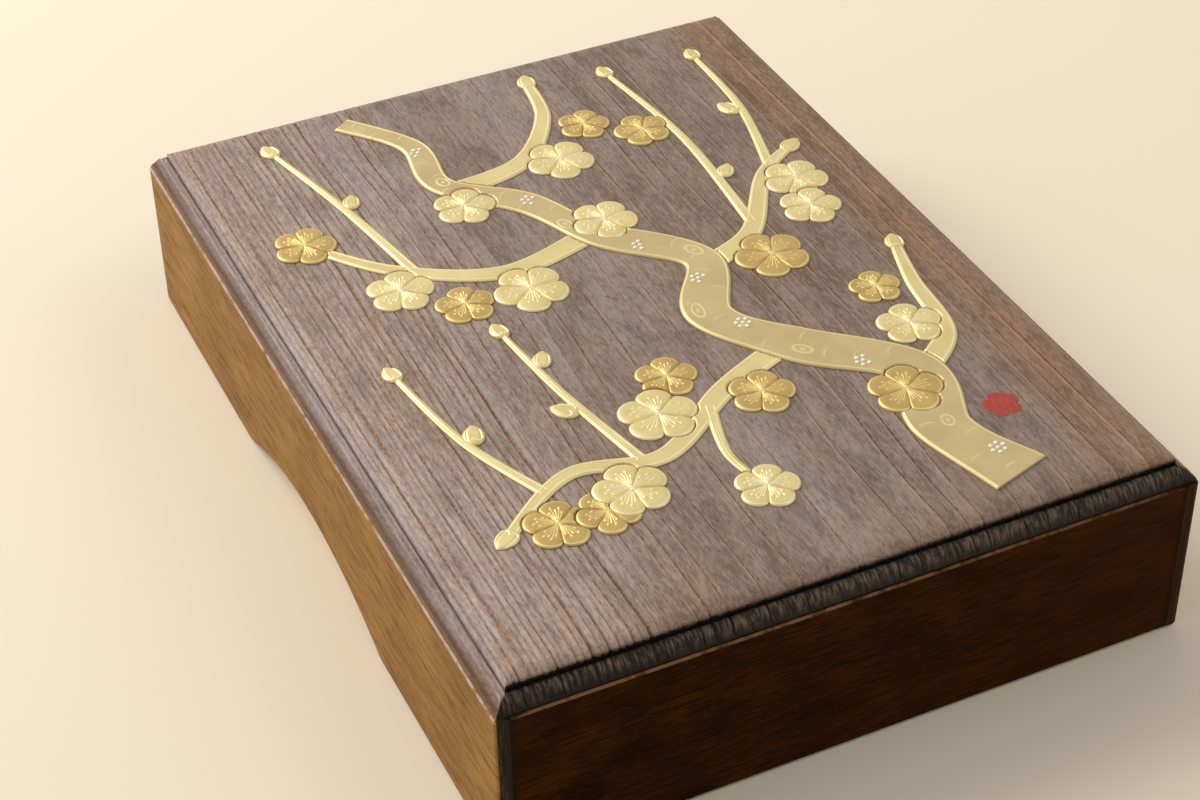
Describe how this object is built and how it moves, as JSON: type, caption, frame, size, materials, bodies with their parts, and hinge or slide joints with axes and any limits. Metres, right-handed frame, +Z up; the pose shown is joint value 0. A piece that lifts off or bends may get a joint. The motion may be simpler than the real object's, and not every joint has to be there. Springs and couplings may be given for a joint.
{
  "type": "letter box",
  "caption": "Flat rectangular wooden letter box whose deep lid covers its base, with a moulded top board, finger arches in the long sides and a raised gold plum tree on the lid.",
  "frame": {"origin": "the middle of the footprint, at the height of the surface that the box stands on", "axes": "+X to the right across the width, +Y to the back along the length and the top board's grain, +Z up"},
  "size_m": [0.26, 0.35, 0.0763],
  "materials": {
    "charred_top": "charred, wire-brushed and waxed paulownia, mauve grey-brown with dark grain",
    "charred_side": "charred and brushed paulownia, warm brown, satin",
    "bare_paulownia": "planed bare paulownia",
    "peg_wood": "turned wooden peg, cut flush",
    "olive_gold": "matt olive gold lacquer relief",
    "pale_gold": "satin pale gold lacquer relief",
    "dark_gold": "satin dark gold lacquer relief",
    "white_lacquer": "small raised dots of white lacquer on the trunk",
    "vermilion": "flat vermilion lacquer"
  },
  "bodies": {
    "base": {"base_bottom_board": "bare_paulownia", "base_long_side_left": "bare_paulownia", "base_long_side_right": "bare_paulownia", "base_short_side_back": "bare_paulownia", "base_short_side_front": "bare_paulownia", "peg_bottom_back_1": "peg_wood", "peg_bottom_back_2": "peg_wood", "peg_bottom_front_1": "peg_wood", "peg_bottom_front_2": "peg_wood", "peg_bottom_left_1": "peg_wood", "peg_bottom_left_2": "peg_wood", "peg_bottom_left_3": "peg_wood", "peg_bottom_right_1": "peg_wood", "peg_bottom_right_2": "peg_wood", "peg_bottom_right_3": "peg_wood", "peg_corner_back_left_1": "peg_wood", "peg_corner_back_left_2": "peg_wood", "peg_corner_back_right_1": "peg_wood", "peg_corner_back_right_2": "peg_wood", "peg_corner_front_left_1": "peg_wood", "peg_corner_front_left_2": "peg_wood", "peg_corner_front_right_1": "peg_wood", "peg_corner_front_right_2": "peg_wood"},
    "lid": {"lid_long_side_left": "charred_side", "lid_long_side_right": "charred_side", "lid_short_side_back": "charred_side", "lid_short_side_front": "charred_side", "lid_top_board": "charred_top", "relief_blossom_1": "pale_gold", "relief_blossom_10": "pale_gold", "relief_blossom_11": "dark_gold", "relief_blossom_12": "pale_gold", "relief_blossom_13": "pale_gold", "relief_blossom_14": "dark_gold", "relief_blossom_15": "pale_gold", "relief_blossom_16": "dark_gold", "relief_blossom_17": "pale_gold", "relief_blossom_18": "dark_gold", "relief_blossom_19": "pale_gold", "relief_blossom_2": "dark_gold", "relief_blossom_20": "dark_gold", "relief_blossom_21": "pale_gold", "relief_blossom_22": "dark_gold", "relief_blossom_3": "pale_gold", "relief_blossom_4": "dark_gold", "relief_blossom_5": "pale_gold", "relief_blossom_6": "dark_gold", "relief_blossom_7": "pale_gold", "relief_blossom_8": "dark_gold", "relief_blossom_9": "dark_gold", "relief_bough_back": "pale_gold", "relief_bough_edge": "pale_gold", "relief_bough_front": "pale_gold", "relief_bough_left": "pale_gold", "relief_bough_right": "pale_gold", "relief_crest": "vermilion", "relief_trunk": "olive_gold"}
  },
  "joints": [
    {"name": "lid_lift", "type": "slide", "parent": "base", "child": "lid", "axis": [0, 0, 1], "range_m": [0, 0.12]}
  ]
}
